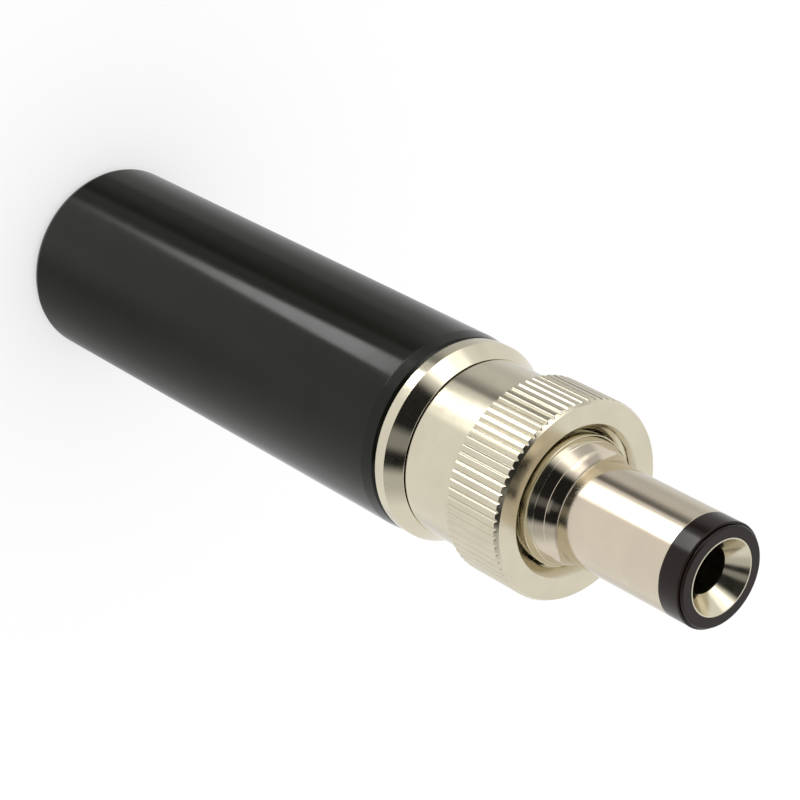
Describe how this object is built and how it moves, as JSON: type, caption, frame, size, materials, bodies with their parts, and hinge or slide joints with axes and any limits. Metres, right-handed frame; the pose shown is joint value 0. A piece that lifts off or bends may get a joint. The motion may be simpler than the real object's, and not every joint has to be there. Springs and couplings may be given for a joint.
{
  "type": "locking dc barrel plug",
  "caption": "Straight DC power plug with a hollow barrel and centre socket, a captive knurled coupling nut and a round screw-on handle for a soldered cable.",
  "frame": {"origin": "centre of the handle's flat rear face, where the cable goes in", "axes": "+Z along the plug's axis, from the handle to the tip; -Y towards the tip terminal's lug and +Y towards the sleeve terminal's strip; +X completes the right-handed frame"},
  "size_m": [0.011, 0.011, 0.0499],
  "materials": {
    "handle_plastic": "black moulded plastic, glossy",
    "liner_plastic": "translucent natural plastic tube",
    "body_nickel": "brass, turned and nickel plated, polished",
    "nut_nickel": "brass, turned and knurled, nickel plated, satin",
    "ring_steel": "spring steel, plain",
    "barrel_nickel": "brass, turned and nickel plated, polished",
    "tip_plastic": "black plastic, satin",
    "contact_nickel": "brass, turned and nickel plated, polished",
    "spring_bronze": "spring bronze, plain",
    "tail_nickel": "brass, turned and nickel plated",
    "core_plastic": "dark plastic, matt",
    "terminal_tin": "stamped brass sheet, tinned",
    "washer_fibre": "hard fibre sheet"
  },
  "bodies": {
    "handle": {"handle": "handle_plastic"},
    "liner": {"liner": "liner_plastic"},
    "plug": {"plug_body": "body_nickel", "barrel": "barrel_nickel", "tip_insulator": "tip_plastic", "centre_contact": "contact_nickel", "contact_spring": "spring_bronze", "contact_tail": "tail_nickel", "core_insulator": "core_plastic", "sleeve_terminal": "terminal_tin", "terminal_washer": "washer_fibre", "tip_terminal": "terminal_tin"},
    "ring": {"retaining_ring": "ring_steel"},
    "nut": {"coupling_nut": "nut_nickel"}
  },
  "joints": [
    {"name": "handle_turn", "type": "hinge", "parent": "handle", "child": "liner", "pos_m": [0, 0, 0.0285], "axis": [0, 0, 1], "range_deg": [0, 2160]},
    {"name": "plug_travel", "type": "slide", "parent": "liner", "child": "plug", "axis": [0, 0, 1], "range_m": [0, 0.0045]},
    {"name": "nut_slide", "type": "slide", "parent": "plug", "child": "ring", "axis": [0, 0, 1], "range_m": [0, 0.0025]},
    {"name": "nut_spin", "type": "hinge", "parent": "ring", "child": "nut", "pos_m": [0, 0, 0.03515], "axis": [0, 0, 1], "continuous": true}
  ],
  "couplings": [
    {"joint": "handle_turn", "follows": "plug_travel", "rad_per_m": 8377.6}
  ]
}
